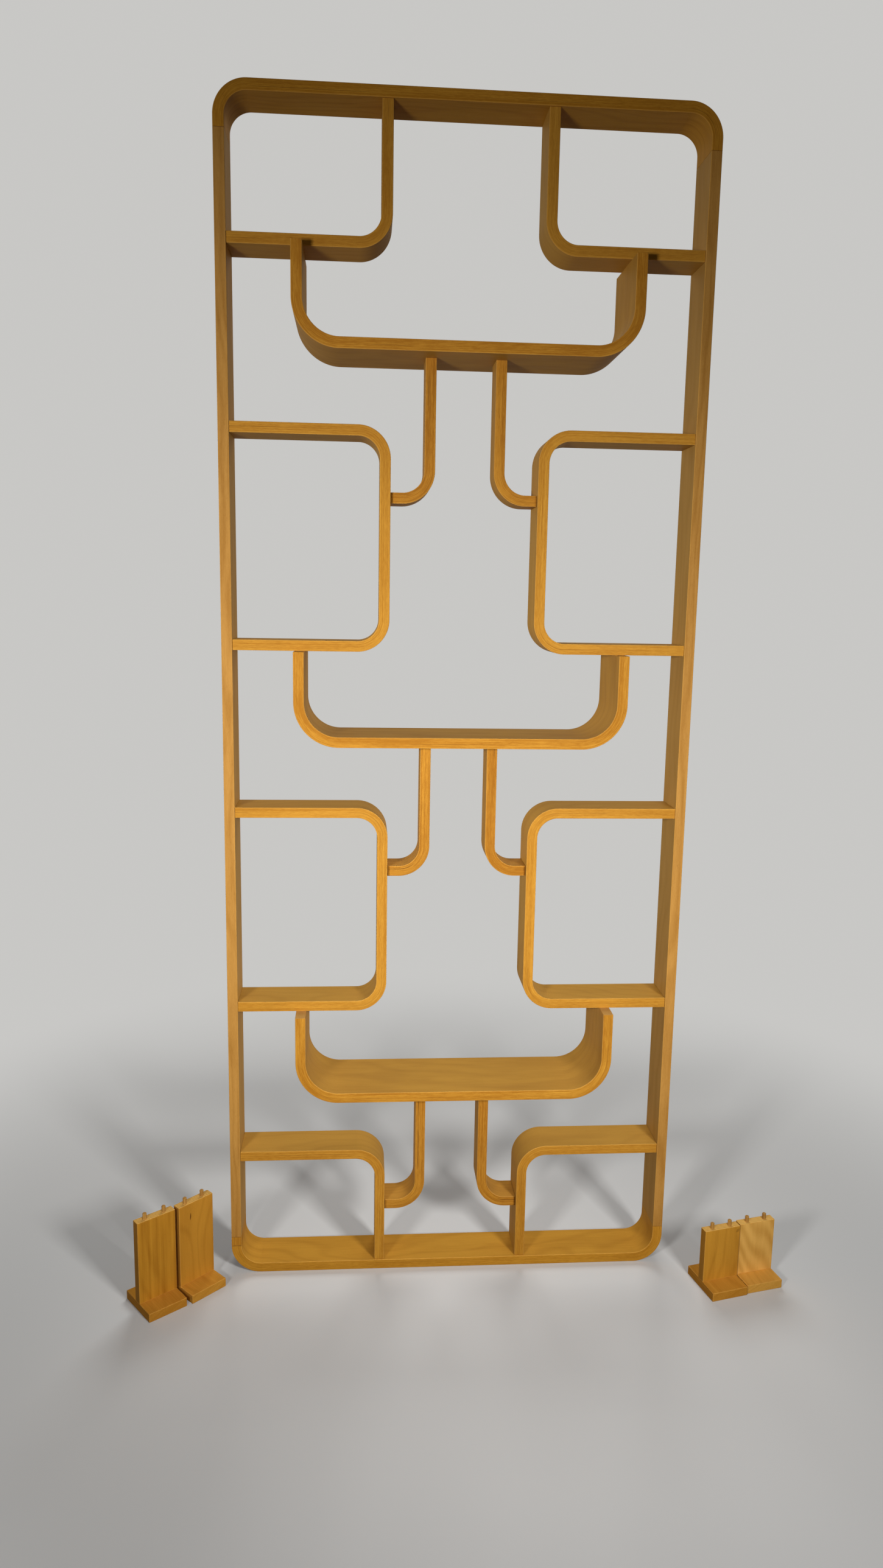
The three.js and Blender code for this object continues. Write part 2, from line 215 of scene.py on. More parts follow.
def eased_section(thickness, depth):
    """The board's cross section with rounded edges. Each point holds its place through and across the
    board, and the way out from there."""
    section = []
    for quarter in range(4):
        middle_through = eased_edge if quarter in (1, 2) else thickness - eased_edge
        middle_across = (depth / 2 - eased_edge) * (1 if quarter < 2 else -1)
        for step in range(edge_steps + 1):
            angle = math.pi / 2 * (quarter + step / edge_steps)
            out_through = math.cos(angle)
            out_across = math.sin(angle)
            section.append((middle_through + eased_edge * out_through,
                            middle_across + eased_edge * out_across, out_through, out_across))
    return section


def board_shape(run, depth, thickness=ply_thickness, end_ease=eased_end, end_steps=1):
    """A closed board that follows a run, with eased long edges and eased ends: a small chamfer, or rounder
    in more steps."""
    section = eased_section(thickness, depth)
    first, last = run[0], run[-1]
    turns = [math.pi / 2 * step / end_steps for step in range(end_steps + 1)]
    ends = [(end_ease * (1 - math.sin(turn)), end_ease * (1 - math.cos(turn))) for turn in turns]
    rings = [(first[0] + first[2] * back, first[1], inset) for inset, back in ends]
    rings += [(station[0], station[1], 0.0) for station in run[1:-1]]
    rings += [(last[0] - last[2] * back, last[1], inset) for inset, back in reversed(ends)]
    shape = bmesh.new()
    loops = []
    for point, inward, inset in rings:
        loop = []
        for through, across, out_through, out_across in section:
            place = point + inward * (through - inset * out_through)
            loop.append(shape.verts.new((place.x, across - inset * out_across, place.y)))
        loops.append(loop)
    for before, after in zip(loops, loops[1:]):
        for i in range(len(section)):
            j = (i + 1) % len(section)
            shape.faces.new((before[i], before[j], after[j], after[i]))
    shape.faces.new(loops[0])
    shape.faces.new(list(reversed(loops[-1])))
    bmesh.ops.recalc_face_normals(shape, faces=shape.faces)
    return shape


def new_object(name, shape):
    """Puts a finished shape into the scene."""
    mesh = bpy.data.meshes.new(name)
    shape.to_mesh(mesh)
    shape.free()
    made = bpy.data.objects.new(name, mesh)
    scene.collection.objects.link(made)
    return made


def mark_unbent(board, run, depth, thickness=ply_thickness):
    """Writes on each point where it lay in the flat stack of veneers, along, across and through it, and that
    stack's length, depth and number. Grain and plies are drawn in that space, so they follow each bend."""
    unbent = []
    for vertex in board.data.vertices:
        found = []
        for point, inward, way, length in run:
            offset = Vector((vertex.co.x, vertex.co.z)) - point
            through = offset.dot(inward)
            if -eased_end <= through <= thickness + eased_end:
                found.append((abs(offset.dot(way)), length + offset.dot(way), through))
        nearest = min(found)
        unbent.extend((nearest[1], vertex.co.y, nearest[2]))
    place = board.data.attributes.new("unbent", "FLOAT_VECTOR", "POINT")
    place.data.foreach_set("vector", unbent)
    blank = [run[-1][3], depth, next(piece_numbers)] * len(board.data.vertices)
    size = board.data.attributes.new("blank", "FLOAT_VECTOR", "POINT")
    size.data.foreach_set("vector", blank)


def fit(piece, node, material, placing=None):
    """Sets a finished piece in its place: smooth faces with crisp edges, its finish and the node that it
    stands for."""
    if placing is not None:
        piece.data.transform(placing)
    piece.data.materials.append(material)
    piece.data.shade_smooth()
    piece.data.set_sharp_from_angle(angle=sharp_angle)
    normals = piece.modifiers.new("even_faces", "WEIGHTED_NORMAL")
    normals.keep_sharp = True
    normals.weight = large_face_weight
    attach(piece, "root")
    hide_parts(node)


socket_diameter = 0.0086
socket_depth = 0.013
socket_inset = 0.085
socket_spread = 0.020
socket_sides = 32
cut_overrun = 0.001


def drill_sockets(rail):
    """Round blind holes for the feet's plugs, two pairs, from the rail's outer face at level 0."""
    holes = bmesh.new()
    length = socket_depth + cut_overrun
    level = (socket_depth - cut_overrun) / 2
    for x in (socket_inset - frame_half_width, frame_half_width - socket_inset):
        for y in (-socket_spread, socket_spread):
            bmesh.ops.create_cone(holes, cap_ends=True, segments=socket_sides, radius1=socket_diameter / 2,
                                  radius2=socket_diameter / 2, depth=length,
                                  matrix=Matrix.Translation((x, y, level)))
    cutter = new_object("sockets", holes)
    cut = rail.modifiers.new("sockets", "BOOLEAN")
    cut.object = cutter
    cut.solver = "EXACT"
    evaluated = rail.evaluated_get(bpy.context.evaluated_depsgraph_get())
    drilled = bpy.data.meshes.new_from_object(evaluated)
    rail.modifiers.clear()
    rail.data = drilled
    bpy.data.objects.remove(cutter)


def lay_board(node, kind, run, depth, material, placing=None, thickness=ply_thickness,
              end_ease=eased_end, end_steps=1, sockets=False):
    """Makes the board that stands for a node: its shape along a run, its sockets, its grain and its fit."""
    board = new_object(f"{node}_{kind}", board_shape(run, depth, thickness, end_ease, end_steps))
    if sockets:
        drill_sockets(board)
    mark_unbent(board, run, depth, thickness)
    fit(board, node, material, placing)


def new_group(name, inputs, outputs):
    """An empty shader node group. Its sockets, named in inputs and outputs, all hold plain values."""
    group = bpy.data.node_groups.new(name, "ShaderNodeTree")
    for direction, names in (("INPUT", inputs), ("OUTPUT", outputs)):
        for socket in names:
            group.interface.new_socket(socket, in_out=direction, socket_type="NodeSocketFloat")
    given = group.nodes.new("NodeGroupInput")
    result = group.nodes.new("NodeGroupOutput")
    return group, given.outputs, result.inputs


def ramp(tree, value, start, end, low=0.0, high=1.0):
    """A smooth step from low to high while value goes from start to end."""
    step = add(tree, "ShaderNodeMapRange",
               {"Value": value, "From Min": start, "From Max": end, "To Min": low, "To Max": high},
               interpolation_type="SMOOTHSTEP")
    return step.outputs[0]


def cloud(tree, along, across, through, scales, detail=2.0, roughness=0.5):
    """Noise that is stretched by a scale for each of the three directions of the board."""
    sides = [sums(tree, "MULTIPLY", side, scale) for side, scale in zip((along, across, through), scales)]
    place = add(tree, "ShaderNodeCombineXYZ", {"X": sides[0], "Y": sides[1], "Z": sides[2]})
    noise = add(tree, "ShaderNodeTexNoise", {"Vector": place.outputs[0], "Scale": 1.0, "Detail": detail,
                                             "Roughness": roughness})
    return noise.outputs["Fac"]


# the grain of one veneer or board: long fibres, short flecks, dark pores and specks, stripes of tone that
# run with the grain, soft patches, and the wide arched lines of a sliced face
grain, taken, given = new_group("beech_grain",
                                ["Along", "Across", "Through", "Piece", "Figure Scale", "Figure Slant",
                                 "Figure Warp", "Figure Edge", "Stripe Scale"],
                                ["Fibre", "Fleck", "Pore", "Speck", "Figure", "Stripe", "Mottle"])
piece_shift = 3.17
soft_range = (0.30, 0.70)
crisp_range = (0.34, 0.66)
fibre_scales = (11.0, 620.0, 620.0)
fleck_scales = (75.0, 820.0, 820.0)
pore_scales = (210.0, 1500.0, 1500.0)
pore_range = (0.66, 0.74)
speck_scale = 34.0
speck_edge = (0.010, 0.026)
speck_rarity = 0.72
slice_slope = 2.0
warp_scales = (2.4, 7.0, 1.9)
rings_per_metre = 30.0
ring_middle = 0.5
stripe_scales = (1.6, 1.0, 2.7)
mottle_scales = (8.0, 26.0, 3.3)
shifted = sums(grain, "ADD", taken["Along"], sums(grain, "MULTIPLY", taken["Piece"], piece_shift))
fibre = cloud(grain, shifted, taken["Across"], taken["Through"], fibre_scales, 4.0, 0.62)
grain.links.new(ramp(grain, fibre, *soft_range), given["Fibre"])
fleck = cloud(grain, shifted, taken["Across"], taken["Through"], fleck_scales, 2.0, 0.6)
grain.links.new(ramp(grain, fleck, *crisp_range), given["Fleck"])
pore = cloud(grain, shifted, taken["Across"], taken["Through"], pore_scales, 1.0)
grain.links.new(ramp(grain, pore, *pore_range), given["Pore"])
speck_place = add(grain, "ShaderNodeCombineXYZ",
                  {"X": shifted, "Y": taken["Across"], "Z": taken["Through"]})
specks = add(grain, "ShaderNodeTexVoronoi", {"Vector": speck_place.outputs[0], "Scale": speck_scale})
chosen = add(grain, "ShaderNodeSeparateColor", {"Color": specks.outputs["Color"]}).outputs["Red"]
speck = sums(grain, "MULTIPLY", ramp(grain, specks.outputs["Distance"], *speck_edge, 1.0, 0.0),
             sums(grain, "GREATER_THAN", chosen, speck_rarity))
grain.links.new(speck, given["Speck"])
face = sums(grain, "MULTIPLY_ADD", taken["Through"], slice_slope, taken["Across"])
warp = cloud(grain, shifted, face, taken["Piece"], warp_scales, 2.0, 0.45)
tilt = sums(grain, "MULTIPLY", shifted, taken["Figure Slant"])
rings = sums(grain, "MULTIPLY_ADD", warp, taken["Figure Warp"],
             sums(grain, "MULTIPLY_ADD", face, rings_per_metre, tilt))
rings = sums(grain, "MULTIPLY", rings, taken["Figure Scale"])
arches = sums(grain, "PINGPONG", rings, ring_middle)
grain.links.new(ramp(grain, arches, taken["Figure Edge"], ring_middle), given["Figure"])
stripe_side = sums(grain, "MULTIPLY", face, taken["Stripe Scale"])
stripe = cloud(grain, shifted, stripe_side, taken["Piece"], stripe_scales, 3.0)
grain.links.new(ramp(grain, stripe, *soft_range), given["Stripe"])
mottle = cloud(grain, shifted, face, taken["Piece"], mottle_scales, 3.0, 0.55)
grain.links.new(ramp(grain, mottle, *crisp_range), given["Mottle"])

# the stack of veneers seen from its edge: a tone for each ply, glue lines that come and go, and one
# stronger line
plies, taken, given = new_group("glued_plies",
                                ["Along", "Through", "Thickness", "Plies", "Piece", "Dark Line At",
                                 "Dark Line Width"],
                                ["Ply Tone", "Cross Ply", "Glue Line", "Dark Line"])
stack_shift = 2.61
wave_scales = (7.0, 60.0, 1.3)
wave_height = 0.5
tone_step = 17.3
cross_ply_range = (0.62, 0.86)
outermost_ply = 0.6
glue_edge = (0.04, 0.16)
glue_gap_scales = (14.0, 3.7, 1.1)
glue_gap_range = (0.42, 0.66)
dark_run_scales = (7.0, 0.9, 0.7)
dark_run_range = (0.50, 0.60)
dark_line_core = 0.34
shifted = sums(plies, "ADD", taken["Along"], sums(plies, "MULTIPLY", taken["Piece"], stack_shift))
wave = cloud(plies, shifted, taken["Through"], taken["Piece"], wave_scales)
waved = sums(plies, "MULTIPLY_ADD", wave, wave_height, -wave_height / 2)
share = sums(plies, "DIVIDE", taken["Through"], taken["Thickness"])
layer = sums(plies, "MULTIPLY_ADD", share, taken["Plies"], waved)
index = sums(plies, "FLOOR", layer)
tone_key = sums(plies, "MULTIPLY_ADD", taken["Piece"], tone_step, index)
tone = add(plies, "ShaderNodeTexWhiteNoise", {"W": tone_key}, noise_dimensions="1D")
plies.links.new(tone.outputs["Value"], given["Ply Tone"])
from_even = sums(plies, "PINGPONG", layer, 1.0)
plies.links.new(ramp(plies, from_even, *cross_ply_range), given["Cross Ply"])
to_line = sums(plies, "PINGPONG", layer, 0.5)
last_ply = sums(plies, "SUBTRACT", taken["Plies"], outermost_ply)
inside = sums(plies, "MULTIPLY", sums(plies, "GREATER_THAN", layer, outermost_ply),
              sums(plies, "LESS_THAN", layer, last_ply))
breaks = ramp(plies, cloud(plies, shifted, index, taken["Piece"], glue_gap_scales, 3.0), *glue_gap_range)
line = sums(plies, "MULTIPLY", ramp(plies, to_line, *glue_edge, 1.0, 0.0), inside)
plies.links.new(sums(plies, "MULTIPLY", line, breaks), given["Glue Line"])
from_dark = sums(plies, "ABSOLUTE", sums(plies, "SUBTRACT", share, taken["Dark Line At"]))
dark_run = cloud(plies, shifted, taken["Piece"], taken["Piece"], dark_run_scales)
core = sums(plies, "MULTIPLY", taken["Dark Line Width"], dark_line_core)
dark_line = sums(plies, "MULTIPLY", ramp(plies, from_dark, core, taken["Dark Line Width"], 1.0, 0.0),
                 ramp(plies, dark_run, *dark_run_range))
plies.links.new(dark_line, given["Dark Line"])

# where a board's edges are: the eased edges, the broad faces, the last stretch before each end and the
# end itself
edges, taken, given = new_group("board_edges",
                                ["Along", "Across", "Through", "Length", "Depth", "Thickness", "End Highlight",
                                 "Joint Width"],
                                ["Arris", "Broad Face", "Joint", "End Face"])
arris_edge = (0.0005, 0.0016)
face_edge = (0.0002, 0.0006)
end_skin = 0.0001
joint_core = 0.375
to_side = sums(edges, "SUBTRACT", sums(edges, "MULTIPLY", taken["Depth"], 0.5),
               sums(edges, "ABSOLUTE", taken["Across"]))
to_face = sums(edges, "MINIMUM", taken["Through"],
               sums(edges, "SUBTRACT", taken["Thickness"], taken["Through"]))
to_end = sums(edges, "MINIMUM", taken["Along"], sums(edges, "SUBTRACT", taken["Length"], taken["Along"]))
# the edges round an end count as eased edges, and take the painted highlight there, only where the piece
# asks for it
highlit_end = sums(edges, "ADD", to_end, sums(edges, "SUBTRACT", 1.0, taken["End Highlight"]))
nearer = sums(edges, "MINIMUM", to_side, to_face)
farther = sums(edges, "MAXIMUM", to_side, to_face)
to_arris = sums(edges, "MAXIMUM", nearer, sums(edges, "MINIMUM", farther, highlit_end))
edges.links.new(ramp(edges, to_arris, *arris_edge, 1.0, 0.0), given["Arris"])
edges.links.new(ramp(edges, to_face, *face_edge, 1.0, 0.0), given["Broad Face"])
end_face = sums(edges, "LESS_THAN", to_end, end_skin)
core = sums(edges, "MULTIPLY", taken["Joint Width"], joint_core)
near_end = ramp(edges, to_end, core, taken["Joint Width"], 1.0, 0.0)
edges.links.new(sums(edges, "SUBTRACT", near_end, end_face), given["Joint"])
edges.links.new(end_face, given["End Face"])

# a dark mark in the wood, long with the grain, bending over at its lower end: a smudge or a small split
marks, taken, given = new_group("wood_mark",
                                ["Along", "Across", "Mark Along", "Mark Across", "Half Length",
                                 "Half Width"], ["Mark"])
mark_bend = -0.25
mark_edge = (0.25, 1.0)
mark_along = sums(marks, "DIVIDE", sums(marks, "SUBTRACT", taken["Along"], taken["Mark Along"]),
                  taken["Half Length"])
mark_across = sums(marks, "DIVIDE", sums(marks, "SUBTRACT", taken["Across"], taken["Mark Across"]),
                   taken["Half Width"])
mark_along_squared = sums(marks, "MULTIPLY", mark_along, mark_along)
from_top = sums(marks, "SUBTRACT", 1.0, mark_along)
from_top_squared = sums(marks, "MULTIPLY", from_top, from_top)
mark_across = sums(marks, "MULTIPLY_ADD", from_top_squared, mark_bend, mark_across)
from_mark = sums(marks, "MULTIPLY_ADD", mark_across, mark_across, mark_along_squared)
marks.links.new(ramp(marks, from_mark, *mark_edge, 1.0, 0.0), given["Mark"])

glue_brown = srgb(92, 52, 20)
# painted highlight: the lighter honey of the eased edges, where the lamps catch their rounding
arris_highlight_honey = srgb(226, 168, 82)
sawn_ply = srgb(240, 192, 106)
# the end faces' paler, greyer colour: their own end grain, with a painted sheen
end_grain_and_sheen = srgb(196, 152, 88)
# partly the face veneer's own greyer tone, partly a painted sheen of the lacquer on the broad faces
veneer_sheen_khaki = srgb(176, 140, 72)
own_tone_share = 0.18
arris_highlight_share = 0.36
pore_share = 0.25
speck_share = 0.65
narrow_fibre_gain = 0.5
broad_fleck_part = 0.2
broad_joint_part = 0.3
sawn_side_part = 0.1
sawn_share = 0.85
lacquer_specular = 0.04
lacquer_roughness = 0.52
fibre_roughness = 0.12
fibre_relief = 0.6
line_relief = -0.8
relief_strength = 0.35
relief_depth = 0.00012


def wood(name, light, dark, thickness=ply_thickness, plies_count=14, ply_share=0.30, line_share=0.42,
         dark_line_at=0.67, dark_line_width=0.035, cross_share=0.0, fibre_share=0.22, figure_share=0.20,
         figure_scale=1.0, figure_slant=2.2, figure_warp=9.0, figure_edge=0.24, stripe_share=0.20,
         stripe_scale=24.0, mottle_share=0.16, fleck_share=0.30, veneer_sheen_share=0.0, joint_share=0.75,
         joint_width=0.0008, end_highlight=0.0, end_share=0.80, side_shade_share=0.0, mark=None, mark_share=0.0):
    """Lacquered beech. Each share says how strongly that effect changes the light colour."""
    material = bpy.data.materials.new(name)
    material.use_nodes = True
    tree = material.node_tree
    tree.nodes.clear()
    place = add(tree, "ShaderNodeAttribute", attribute_name="unbent")
    blank = add(tree, "ShaderNodeAttribute", attribute_name="blank")
    along, across, through = add(tree, "ShaderNodeSeparateXYZ", {0: place.outputs["Vector"]}).outputs
    length, depth, number = add(tree, "ShaderNodeSeparateXYZ", {0: blank.outputs["Vector"]}).outputs
    wanted = {"Along": along, "Across": across, "Through": through, "Length": length, "Depth": depth,
              "Piece": number, "Thickness": thickness, "Plies": plies_count, "Dark Line At": dark_line_at,
              "Dark Line Width": dark_line_width, "Figure Scale": figure_scale,
              "Figure Slant": figure_slant, "Figure Warp": figure_warp, "Figure Edge": figure_edge,
              "Stripe Scale": stripe_scale, "End Highlight": end_highlight, "Joint Width": joint_width}

    def effect(group, values):
        made = add(tree, "ShaderNodeGroup", node_tree=group)
        for socket in made.inputs:
            value = values[socket.name]
            if isinstance(value, bpy.types.NodeSocket):
                tree.links.new(value, socket)
            else:
                socket.default_value = value
        return made.outputs

    def mixed(share, base, other):
        return add(tree, "ShaderNodeMix", {"Factor": share, "A": base, "B": other},
                   data_type="RGBA").outputs["Result"]

    fibres = effect(grain, wanted)
    layers = effect(plies, wanted)
    borders = effect(edges, wanted)
    narrow = sums(tree, "SUBTRACT", 1.0, borders["Broad Face"])
    figure = sums(tree, "MULTIPLY", fibres["Figure"], figure_share)
    if plies_count > 1:
        figure = sums(tree, "MULTIPLY", figure, borders["Broad Face"])
    layered = sums(tree, "MULTIPLY", layers["Ply Tone"], sums(tree, "MULTIPLY", narrow, ply_share))
    fibred = sums(tree, "MULTIPLY", fibres["Fibre"],
                  sums(tree, "MULTIPLY_ADD", narrow, narrow_fibre_gain * fibre_share, fibre_share))
    flecked = sums(tree, "MULTIPLY", fibres["Fleck"],
                   sums(tree, "MULTIPLY_ADD", narrow, (1 - broad_fleck_part) * fleck_share,
                        broad_fleck_part * fleck_share))
    tone = sums(tree, "ADD", sums(tree, "ADD", fibred, figure), sums(tree, "ADD", layered, flecked))
    tone = sums(tree, "MULTIPLY_ADD", fibres["Stripe"], stripe_share, tone)
    tone = sums(tree, "MULTIPLY_ADD", fibres["Mottle"], mottle_share, tone)
    own = add(tree, "ShaderNodeTexWhiteNoise", {"W": number}, noise_dimensions="1D")
    tone = sums(tree, "MULTIPLY_ADD", own.outputs["Value"], own_tone_share, tone)
    colour = mixed(tone, light, dark)
    # broad faces turn greyer: the veneer's own tone with a painted sheen
    colour = mixed(sums(tree, "MULTIPLY", borders["Broad Face"], veneer_sheen_share), colour, veneer_sheen_khaki)
    # end faces: their own end grain tone with a painted sheen
    colour = mixed(sums(tree, "MULTIPLY", borders["End Face"], end_share), colour, end_grain_and_sheen)
    if cross_share:
        bare = sums(tree, "MULTIPLY_ADD", borders["End Face"], 1 - sawn_side_part, sawn_side_part)
        sawn = sums(tree, "MULTIPLY", narrow, bare)
        side = sums(tree, "MULTIPLY", narrow, sums(tree, "SUBTRACT", 1.0, borders["End Face"]))
        # painted shade on the narrow sides of crossed-ply boards, partly their own darker side grain
        colour = mixed(sums(tree, "MULTIPLY", side, side_shade_share), colour, dark)
        colour = mixed(sums(tree, "MULTIPLY", sawn, sawn_share), colour, sawn_ply)
        crossed = sums(tree, "MULTIPLY", layers["Cross Ply"], sawn)
        colour = mixed(sums(tree, "MULTIPLY", crossed, cross_share), colour, dark)
    # painted highlight along the eased edges
    colour = mixed(sums(tree, "MULTIPLY", borders["Arris"], arris_highlight_share), colour, arris_highlight_honey)
    lines = sums(tree, "MULTIPLY", sums(tree, "MAXIMUM", layers["Glue Line"], layers["Dark Line"]),
                 sums(tree, "MULTIPLY", narrow, line_share))
    lines = sums(tree, "MAXIMUM", lines, sums(tree, "MULTIPLY", fibres["Pore"], pore_share))
    lines = sums(tree, "MAXIMUM", lines, sums(tree, "MULTIPLY", fibres["Speck"], speck_share))
    butted = sums(tree, "MULTIPLY", borders["Joint"],
                  sums(tree, "MULTIPLY_ADD", narrow, 1 - broad_joint_part, broad_joint_part))
    lines = sums(tree, "MAXIMUM", lines, sums(tree, "MULTIPLY", butted, joint_share))
    if mark:
        spot = effect(marks, wanted | mark)["Mark"]
        lines = sums(tree, "MAXIMUM", lines, sums(tree, "MULTIPLY", spot, mark_share))
    colour = mixed(lines, colour, glue_brown)
    rough = sums(tree, "MULTIPLY_ADD", fibres["Fibre"], fibre_roughness, lacquer_roughness)
    relief = sums(tree, "MULTIPLY_ADD", lines, line_relief,
                  sums(tree, "MULTIPLY", fibres["Fibre"], fibre_relief))
    bump = add(tree, "ShaderNodeBump",
               {"Strength": relief_strength, "Distance": relief_depth, "Height": relief})
    surface = add(tree, "ShaderNodeBsdfPrincipled",
                  {"Base Color": colour, "Roughness": rough, "Specular IOR Level": lacquer_specular,
                   "Normal": bump.outputs[0]})
    add(tree, "ShaderNodeOutputMaterial", {"Surface": surface.outputs[0]})
    return material


rail_wood = wood("rail_wood", srgb(214, 155, 54), srgb(172, 114, 30), veneer_sheen_share=0.15)

joint_level = rail_high.z
left_cut_level = frame_bend_radius
rail_run = run_along([(-frame_half_width, left_cut_level), (-frame_half_width, 0), (frame_half_width, 0),
                      (frame_half_width, joint_level)], frame_bend_radius)
lay_board("bottom_rail", "ply", rail_run, frame_depth, rail_wood, sockets=True)

# Top rail. The same U from the same press, turned legs down, with both legs at full length and the same
# sockets in its upper face, for the two feet that brace the divider against a ceiling.
top_low, top_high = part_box("top_rail")
leg_height = top_high.z - top_low.z
top_run = run_along([(-frame_half_width, leg_height), (-frame_half_width, 0), (frame_half_width, 0),
                     (frame_half_width, leg_height)], frame_bend_radius)
turned_over = Matrix.Translation((0, 0, top_high.z)) @ Matrix.Rotation(math.pi, 4, "Y")
lay_board("top_rail", "ply", top_run, frame_depth, rail_wood, turned_over, sockets=True)

# Uprights. Two straight boards between the rails' legs, faced with veneer and lipped front and back with
# plain long-grained beech, so that no plies show. Dowels in both ends hold them to the rails.
upright_wood = wood("upright_wood", srgb(202, 150, 76), srgb(166, 116, 50), plies_count=1, line_share=0.0,
                    fibre_share=0.13, figure_share=0.26, figure_scale=0.8, figure_edge=0.12,
                    stripe_share=0.12, mottle_share=0.24, fleck_share=0.16, veneer_sheen_share=0.45)
upright_run = run_along([(frame_half_width, upright_low.z), (frame_half_width, upright_high.z)])
half_turn = Matrix.Rotation(math.pi, 4, "Z")
sides = {"right": None, "left": half_turn}
for side, placing in sides.items():
    lay_board(f"{side}_upright", "board", upright_run, frame_depth, upright_wood, placing)

# Make-up block. A short piece that brings the cut-off left leg of the bottom rail up to the upright, with
# its grain standing. The two long corner dowels of that side pass through it.
block_low, block_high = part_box("makeup_block")
block_wood = wood("block_wood", srgb(214, 157, 60), srgb(172, 114, 32), plies_count=3, ply_share=0.30,
                  dark_line_at=0.3, fibre_share=0.40, figure_scale=1.6)
block_run = run_along([(frame_half_width, block_low.z), (frame_half_width, block_high.z)])
lay_board("makeup_block", "board", block_run, frame_depth, block_wood, half_turn)

# Brackets. Bent plies of the same make but a little less deep, butted against the uprights and pegged: an L
# with one bend at the bottom and top of each side, and two C shapes with two bends between.
bracket_bend_radius = 0.060
bracket_low, bracket_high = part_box("right_lower_bracket")
bracket_depth = bracket_high.y - bracket_low.y
riser_face = bracket_low.x
upright_face = upright_low.x
rail_face = ply_thickness
top_rail_face = top_high.z - ply_thickness
bracket_wood = wood("bracket_wood", srgb(212, 155, 58), srgb(170, 113, 34), dark_line_at=0.45,
                    fibre_share=0.18, stripe_share=0.16, veneer_sheen_share=0.45)


def bracket_corners(node):
    """The outer face of a right-hand bracket from end to end, bending to the left."""
    low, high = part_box(node)
    if node == "right_bottom_bracket":
        return [(upright_face, high.z), (riser_face, high.z), (riser_face, rail_face)]
    if node == "right_top_bracket":
        return [(riser_face, top_rail_face), (riser_face, low.z), (upright_face, low.z)]
    return [(upright_face, high.z), (riser_face, high.z), (riser_face, low.z), (upright_face, low.z)]


for storey in ("bottom", "lower", "upper", "top"):
    bracket_run = run_along(bracket_corners(f"right_{storey}_bracket"), bracket_bend_radius)
    for side, placing in sides.items():
        lay_board(f"{side}_{storey}_bracket", "ply", bracket_run, bracket_depth, bracket_wood,
                  placing)

# Shelves. Three deep trays bent with a wider radius, open to front and back. Each hangs by the ends of
# its two arms, on dowels, from the brackets above. Their broad faces show the arched figure of the sliced
# veneer.
shelf_bend_radius = 0.085
shelf_wood = wood("shelf_wood", srgb(212, 154, 56), srgb(166, 108, 30), dark_line_at=0.40,
                  figure_share=0.20, figure_scale=0.7, figure_edge=0.12, fibre_share=0.18,
                  stripe_share=0.16, mottle_share=0.30, veneer_sheen_share=0.45, joint_share=0.0)
for storey in ("lower", "middle", "upper"):
    shelf_low, shelf_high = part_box(f"{storey}_shelf")
    shelf_depth = shelf_high.y - shelf_low.y
    shelf_run = run_along([(shelf_low.x, shelf_high.z), (shelf_low.x, shelf_low.z),
                           (shelf_high.x, shelf_low.z), (shelf_high.x, shelf_high.z)], shelf_bend_radius)
    lay_board(f"{storey}_shelf", "ply", shelf_run, shelf_depth, shelf_wood)

# Hooks. Six narrow J shapes with one bend. Each hangs on dowels under a shelf and curls round to the
# riser of the bracket below. Being cut narrow, they show their plies most, and their joints a dark seam.
hook_bend_radius = 0.060
hook_tail_gap = 0.0003
hook_wood = wood("hook_wood", srgb(206, 146, 52), srgb(158, 101, 28), ply_share=0.36, line_share=0.70,
                 dark_line_at=0.70, dark_line_width=0.060, figure_scale=1.2, veneer_sheen_share=0.35,
                 joint_width=0.0019)
for storey in ("lower", "middle", "upper"):
    hook_low, hook_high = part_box(f"right_{storey}_hook")
    hook_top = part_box(f"{storey}_shelf")[0].z
    hook_run = run_along([(hook_low.x, hook_top), (hook_low.x, hook_low.z),
                          (riser_face - hook_tail_gap, hook_low.z)], hook_bend_radius)
    hook_depth = hook_high.y - hook_low.y
    for side, placing in sides.items():
        lay_board(f"{side}_{storey}_hook", "ply", hook_run, hook_depth, hook_wood, placing)

# Dowels in the joints. Turned beech pegs at the frame's corners and in the shelves' arms, bare and
# unlacquered. They are glued in and hidden.
peg_fibre_scales = (900.0, 900.0, 16.0)
peg_specular = 0.25
peg_relief_strength = 0.4
peg_relief_depth = 0.0002


def turned_wood(name, light, dark, roughness):
    """A standing round peg's wood, with fibres that run up and down."""
    material = bpy.data.materials.new(name)
    material.use_nodes = True
    tree = material.node_tree
    tree.nodes.clear()
    place = add(tree, "ShaderNodeTexCoord")
    across, through, along = add(tree, "ShaderNodeSeparateXYZ", {0: place.outputs["Object"]}).outputs
    streak = ramp(tree, cloud(tree, across, through, along, peg_fibre_scales, 3.0), *soft_range)
    colour = add(tree, "ShaderNodeMix", {"Factor": streak, "A": light, "B": dark}, data_type="RGBA")
    bump = add(tree, "ShaderNodeBump",
               {"Strength": peg_relief_strength, "Distance": peg_relief_depth, "Height": streak})
    rough = sums(tree, "MULTIPLY_ADD", streak, fibre_roughness, roughness)
    surface = add(tree, "ShaderNodeBsdfPrincipled",
                  {"Base Color": colour.outputs["Result"], "Roughness": rough,
                   "Specular IOR Level": peg_specular, "Normal": bump.outputs[0]})
    add(tree, "ShaderNodeOutputMaterial", {"Surface": surface.outputs[0]})
    return material


peg_wood = turned_wood("peg_wood", srgb(220, 180, 128), srgb(182, 134, 84), 0.66)
for node, cad_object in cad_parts.items():
    if "dowel" in node:
        cad_object.data.materials.clear()
        cad_object.data.materials.append(peg_wood)

